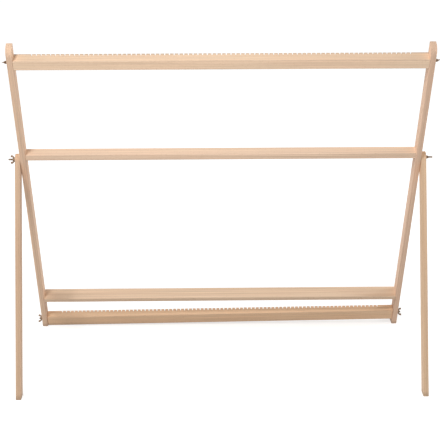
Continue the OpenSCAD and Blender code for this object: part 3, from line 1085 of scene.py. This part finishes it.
@dataclass(frozen=True)
class Fittings:
    """The wing nuts, washers, studs and pivot bolts at the six places where the loom is clamped.

    Attributes:
        washer: the washer under each nut.
        nut: the wing nut.
        nut_gap_mm: running gap between nut and washer.
        stud_proud_mm: how far a beam's stud stands out past its nut.
        bolt_proud_mm: how far a pivot bolt stands out past its nut.
        bolt_thread_mm: length of a pivot bolt's thread.
        bronzed: finish of them all.
    """

    washer: Washer = Washer()
    nut: WingNut = WingNut()
    nut_gap_mm: float = 0.2
    stud_proud_mm: float = 3.0
    bolt_proud_mm: float = 14.0
    bolt_thread_mm: float = 32.0
    bronzed: Metal = Metal("bronzed_steel_plated", base="#6E5A4A", rubbed="#AE9880", roughness=0.46)

    def seat(self, stem: str, side: Side) -> Place:
        """Place of a fitting's axis, at the face on which its washer sits.

        The axis is the nut's joint. Along it the washer's middle, which the frame gives, is half a washer out
        from the seat. The nut's wings lie along the direction in which the CAD nut spreads furthest.

        Args:
            stem: start of the names of the nodes at this place.
            side: which side of the loom.

        Returns:
            The place, with its own z outwards and its own x along the wings.
        """
        outwards = joint_axis(f"{stem}_nut_turn") * side.value
        seat = middle(f"{stem}_washer") - outwards * self.washer.thick_mm / 2 * MM
        nut = frame["nodes"][f"{stem}_wing_nut"].data
        points = np.empty(len(nut.vertices) * 3)
        nut.vertices.foreach_get("co", points)
        points = points.reshape(-1, 3) - np.array(seat)
        axis = np.array(outwards)
        spread = points - np.outer(points @ axis, axis)
        wings = Vector(np.linalg.eigh(spread.T @ spread)[1][:, -1]).normalized()
        return Place(seat, wings, outwards.cross(wings))

    def build(self) -> None:
        """Builds the fittings at all six places."""
        finish = self.bronzed.material(worn=True)
        nut_mesh = self.nut.mesh()
        nut_base_mm = self.washer.thick_mm + self.nut_gap_mm
        nut_end_mm = nut_base_mm + self.nut.hub_mm
        for fixing in Fixing:
            for side in Side:
                stem = fixing.stem(side)
                seat = self.seat(stem, side)
                self.dress(self.washer.surface(), f"{stem}_washer_ring", seat, finish, f"{stem}_washer")
                finish_piece(nut_mesh.copy(), f"{stem}_winged_nut", seat.moved(nut_base_mm), finish,
                             f"{stem}_wing_nut")
                if fixing is Fixing.PIVOT:
                    self.build_bolt(stem, side, seat, nut_end_mm + self.bolt_proud_mm, finish)
                else:
                    self.build_stud(stem, seat, nut_end_mm + self.stud_proud_mm, finish)
        bpy.data.meshes.remove(nut_mesh)

    def dress(self, surface: Surface, name: str, place: Place, finish: Material, node: str) -> None:
        """Turns a surface into a finished piece.

        Args:
            surface: the piece's surface.
            name: the piece's name.
            place: where the piece lies.
            finish: the piece's material.
            node: the CAD node that it stands for.
        """
        mesh = surface.mesh(name)
        mark_wear(mesh)
        finish_piece(mesh, name, place, finish, node)

    def build_stud(self, stem: str, seat: Place, end_mm: float, finish: Material) -> None:
        """Builds the threaded stud of a warp beam, from the CAD stud's inner end to its outer end.

        The CAD stud's box spans the rod's length times its direction's share of x, and the rod's slanting
        diameter.

        Args:
            stem: start of the names of the nodes at this place.
            seat: the place of the fitting.
            end_mm: distance from the seat to the stud's outer end.
            finish: the stud's material.
        """
        low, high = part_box(f"{stem}_stud")
        rise = abs(seat.third().x)
        length_mm = ((high.x - low.x) - THREAD_MM * MM * math.sqrt(1 - rise ** 2)) / rise / MM
        rod = Rod(length_mm, threaded_mm=length_mm)
        inner_end = seat.moved(end_mm - length_mm)
        self.dress(rod.surface(), f"{stem}_threaded_stud", inner_end, finish, f"{stem}_stud")

    def build_bolt(self, stem: str, side: Side, seat: Place, end_mm: float, finish: Material) -> None:
        """Builds the bolt of a leg's pivot, with its head on the upright's inner face.

        Args:
            stem: start of the names of the nodes at this place.
            side: which side of the loom.
            seat: the place of the fitting.
            end_mm: distance from the seat to the bolt's end.
            finish: the bolt's material.
        """
        low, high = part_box(f"{side.word}_upright")
        inner_x = high.x if side is Side.LEFT else low.x
        length_mm = abs(seat.origin.x - inner_x) / MM + end_mm
        bolt = CarriageBolt(Rod(length_mm, self.bolt_thread_mm))
        place = seat.moved(end_mm - length_mm)
        squared = Place(place.origin, frame_up(), (ACROSS * side.value).cross(frame_up()))
        self.dress(bolt.surface(), f"{stem}_carriage_bolt", squared, finish, f"{stem}_bolt")


@dataclass(frozen=True)
class Boards:
    """The eight boards of the loom, each with its own cut from the log.

    Attributes:
        upright_mm: depth and thickness of an upright.
        leg_mm: depth and thickness of a leg.
        top_beam_mm: depth and thickness of the top warp beam.
        bottom_beam_mm: depth and thickness of the bottom warp beam.
        middle_bar_mm: depth and thickness of the middle cross bar.
        lower_bar_mm: depth and thickness of the lower cross bar.
    """

    upright_mm: Pair = (45.0, 19.0)
    leg_mm: Pair = (39.0, 18.0)
    top_beam_mm: Pair = (44.0, 33.0)
    bottom_beam_mm: Pair = (33.0, 44.0)
    middle_bar_mm: Pair = (38.0, 22.0)
    lower_bar_mm: Pair = (55.0, 15.0)

    def pivot(self, side: Side) -> Vector:
        """Point on a leg's pivot line."""
        return joint_point(f"{side.word}_pivot_nut_turn")

    def side_place(self, node: str, side: Side, up: Vector) -> Place:
        """Place of an upright or a leg: its grain runs up through the pivot, in the middle of its box."""
        return Place(Vector((middle(node).x, *self.pivot(side).yz)), up, up.cross(ACROSS))

    def leg_up(self, side: Side) -> Vector:
        """Direction up along a leg.

        Args:
            side: which side of the loom.

        Returns:
            The unit direction from the middle of the leg's foot to its pivot, seen from the side.
        """
        name = f"{side.word}_leg_foot"
        foot = next(mount["pos_m"] for mount in frame["record"]["mounts"] if mount["name"] == name)
        return Vector((0, *(self.pivot(side) - Vector(foot)).yz)).normalized()

    def beam_place(self, turn: str) -> Place:
        """Place of a warp beam: its grain runs along the line about which it turns."""
        along = joint_axis(turn)
        return Place(joint_point(turn), along, frame_up().cross(along).normalized())

    def bar_place(self, node: str) -> Place:
        """Place of a cross bar: its grain runs straight across the loom through the middle of its box."""
        return Place(middle(node), ACROSS, frame_up().cross(ACROSS))

    def build(self) -> None:
        """Gives every board its own beech: place, section, heart of the tree, cut from the log and colour."""
        up = frame_up()
        left_upright, right_upright = (self.side_place(f"{side.word}_upright", side, up) for side in Side)
        left_leg, right_leg = (self.side_place(f"{side.word}_leg", side, self.leg_up(side)) for side in Side)
        top, bottom = (self.beam_place(f"{name}_beam_turn") for name in ("top", "bottom"))
        middle_bar, lower_bar = (self.bar_place(f"{name}_bar") for name in ("middle", "lower"))
        # Painted shade darkens the band along the top beam's notched edge, and painted light lifts the bottom
        # beam's band, where the lower bar above casts shade
        finishes = {
            "left_upright": Beech(left_upright, self.upright_mm, (-64.0, 38.0), 300.0, "#E9C7AA"),
            "right_upright": Beech(right_upright, self.upright_mm, (58.0, 45.0), 5200.0, "#E6C4A9"),
            "left_leg": Beech(left_leg, self.leg_mm, (30.0, -72.0), 9100.0, "#D1B092"),
            "right_leg": Beech(right_leg, self.leg_mm, (-44.0, 66.0), 13300.0, "#DCBB9A"),
            "top_beam": Beech(top, self.top_beam_mm, (35.0, -58.0), 17500.0, "#F6D7B8", rubbed_gain=-0.22),
            "bottom_beam": Beech(bottom, self.bottom_beam_mm, (-52.0, -61.0), 21900.0, "#EFCBA7",
                                 rubbed_mm=22.0, rubbed_gain=0.16),
            "middle_bar": Beech(middle_bar, self.middle_bar_mm, (70.0, 52.0), 26100.0, "#F3D4B8"),
            "lower_bar": Beech(lower_bar, self.lower_bar_mm, (-20.0, 83.0), 30700.0, "#E2C4A7"),
        }
        for node, finish in finishes.items():
            dress_node(node, finish.material(node))


@dataclass(frozen=True)
class HiddenMetal:
    """The metal that keeps its CAD shape: the cross bars' screws and the beams' threaded inserts.

    Attributes:
        zinc: finish of the screws.
        brass: finish of the inserts.
    """

    zinc: Metal = Metal("zinc_plated_steel", base="#A9A8A3", rubbed="#D2D1CC", roughness=0.34, mottle_mm=1.2)
    brass: Metal = Metal("turned_brass", base="#B08D45", rubbed="#D9BC74", roughness=0.3, mottle_mm=2.0)

    def build(self) -> None:
        """Gives the screws and inserts their finishes."""
        zinc, brass = self.zinc.material(worn=False), self.brass.material(worn=False)
        for node in ("middle_bar_screws", "lower_bar_screws"):
            dress_node(node, zinc)
        for fixing in (Fixing.TOP, Fixing.BOTTOM):
            for side in Side:
                dress_node(f"{fixing.stem(side)}_insert", brass)


@dataclass(frozen=True)
class Lamp:
    """A square soft white lamp.

    Attributes:
        name: the lamp's name.
        place: where it hangs.
        size: length of its side.
        power: its power in watts.
    """

    name: str
    place: Triple
    size: float
    power: float

    def build(self, target: Vector) -> None:
        """Hangs the lamp. The camera doesn't see the lamp itself.

        Args:
            target: the point that it faces.
        """
        data = bpy.data.lights.new(self.name, "AREA")
        data.size = self.size
        data.energy = self.power
        lamp = in_scene(self.name, data)
        lamp.location = self.place
        lamp.rotation_euler = (target - Vector(self.place)).to_track_quat("-Z", "Y").to_euler()
        lamp.visible_camera = False


@dataclass(frozen=True)
class Viewpoint:
    """The photograph's camera, found by fitting a pinhole camera to the edges of the boards.

    Attributes:
        place: where the camera stands.
        yaw: turn to the right, in degrees.
        pitch: turn downwards, in degrees.
        roll: turn about the line of sight, in degrees.
        focal_px: focal length, in widths of one pixel of the photograph.
        image_px: width of the photograph.
        sensor_mm: width of the sensor.
    """

    place: Triple = (-0.0628, -3.7885, 1.9040)
    yaw: float = 0.895
    pitch: float = 20.029
    roll: float = -0.085
    focal_px: float = 1167.7
    image_px: float = 440.0
    sensor_mm: float = 36.0

    def build(self) -> None:
        """Makes the camera and hands it to the scene."""
        yaw, pitch, roll = (math.radians(v) for v in (self.yaw, self.pitch, self.roll))
        ahead = Vector((math.sin(yaw) * math.cos(pitch), math.cos(yaw) * math.cos(pitch), -math.sin(pitch)))
        level = Vector((math.cos(yaw), -math.sin(yaw), 0))
        above = level.cross(ahead)
        right = math.cos(roll) * level + math.sin(roll) * above
        up = math.cos(roll) * above - math.sin(roll) * level
        data = bpy.data.cameras.new("camera")
        data.sensor_width = self.sensor_mm
        data.lens = self.focal_px / self.image_px * self.sensor_mm
        camera = in_scene("camera", data)
        turn = Matrix((right, up, -ahead)).transposed().to_4x4()
        camera.matrix_world = Matrix.Translation(Vector(self.place)) @ turn
        bpy.context.scene.camera = camera


@dataclass(frozen=True)
class Studio:
    """A plain white studio: a pale floor, an even white surround and soft lamps.

    Attributes:
        floor_radius: radius of the floor.
        floor_colour: colour of the floor's paper.
        near_glow: how much white the floor adds to its own light for the camera, near the loom.
        far_glow: the same far from the loom, where the lamps no longer reach.
        near: distance from the floor's middle up to which near_glow holds.
        far: distance from which far_glow holds.
        surround: strength of the even light from all round.
        lamps: the lamps.
    """

    floor_radius: float = 16.0
    floor_colour: str = "#CBCBCB"
    near_glow: float = 0.64
    far_glow: float = 0.92
    near: float = 0.7
    far: float = 2.8
    surround: float = 0.18
    lamps: tuple[Lamp, ...] = (
        Lamp("left_lamp", (-3.0, 0.3, 1.6), 1.5, 39.0),
        Lamp("right_lamp", (3.0, 0.3, 1.6), 1.5, 52.0),
        Lamp("front_lamp", (0.0, -1.8, 1.4), 1.0, 8.0),
        Lamp("key_lamp", (-1.45, -2.6, 3.7), 0.7, 85.0),
    )

    def seen_directly(self, tree: Tree) -> Socket:
        """Adds a mask of what is seen as it is.

        Args:
            tree: node tree of the floor or the world.

        Returns:
            1 for rays from the camera, in mirror reflections and through glass, and 0 for others.
        """
        path = add(tree, "LightPath")
        outputs = path.node.outputs
        either = add(tree, "Math", {0: path, 1: outputs["Is Glossy Ray"]}, operation="MAXIMUM")
        return add(tree, "Math", {0: either, 1: outputs["Is Transmission Ray"]}, operation="MAXIMUM")

    def build_floor(self) -> None:
        """Lays the floor: a flat round sheet whose rings of points grow with the square of their row."""
        rings, columns = 24, 96
        radius = self.floor_radius * np.linspace(0, 1, rings + 1)[1:, None] ** 2
        flat = lathe(radius, 0.0, angles(columns)).reshape(-1, 3)
        quads = [quad[::-1] for quad in grid_quads(rings, columns)]
        fan = [[len(flat), i, (i + 1) % columns] for i in range(columns)]
        mesh = bpy.data.meshes.new("floor")
        mesh.from_pydata(flat.tolist() + [[0.0, 0.0, 0.0]], [], quads + fan)
        mesh.materials.append(self.floor_material())
        floor = in_scene("floor", mesh)

    def floor_material(self) -> Material:
        """Matt white paper.

        Returns:
            The material. Where it is seen directly, a glow lifts it to white but leaves the loom's shadow.
        """
        material, tree = new_material("matt_white_paper")
        position = add(tree, "TexCoord", output=OBJECT_OUTPUT)
        distance = add(tree, "VectorMath", {0: position}, NUMBER_OUTPUT, operation="LENGTH")
        glow = add(tree, "MapRange", {
            0: distance, 1: self.near, 2: self.far, 3: self.near_glow, 4: self.far_glow}, **EASED)
        seen = add(tree, "Math", {0: glow, 1: self.seen_directly(tree)}, operation="MULTIPLY")
        emission = add(tree, "Emission", {"Color": WHITE, "Strength": seen})
        diffuse = add(tree, "BsdfDiffuse", {"Color": linear(self.floor_colour)})
        add(tree, "OutputMaterial", {"Surface": add(tree, "AddShader", {0: diffuse, 1: emission})})
        return material

    def build_surround(self) -> None:
        """Sets the world: plain white where it is seen directly, and an even light for the rest."""
        world = bpy.data.worlds.new("white_surround")
        world.use_nodes = True
        tree = world.node_tree
        tree.nodes.clear()
        even, white = (
            add(tree, "Background", {"Color": WHITE, "Strength": power}) for power in (self.surround, 1.0))
        mixed = add(tree, "MixShader", {0: self.seen_directly(tree), 1: even, 2: white})
        add(tree, "OutputWorld", {"Surface": mixed})
        bpy.context.scene.world = world

    def build(self) -> None:
        """Builds the floor, the surround and the lamps, and sets how colours are shown."""
        low, high = CAD_BOX
        for lamp in self.lamps:
            lamp.build((low + high) / 2)
        self.build_floor()
        self.build_surround()
        bpy.context.scene.view_settings.view_transform = "Standard"
        LOG.info("studio: floor, surround and %d lamps", len(self.lamps))


def main() -> None:
    """Builds the camera, the studio and the loom's finishes and fittings, in that order."""
    logging.basicConfig(level=logging.INFO, format="%(message)s")
    for group in (Viewpoint(), Studio(), Boards(), HiddenMetal(), Fittings()):
        group.build()


if __name__ == "__main__":
    main()
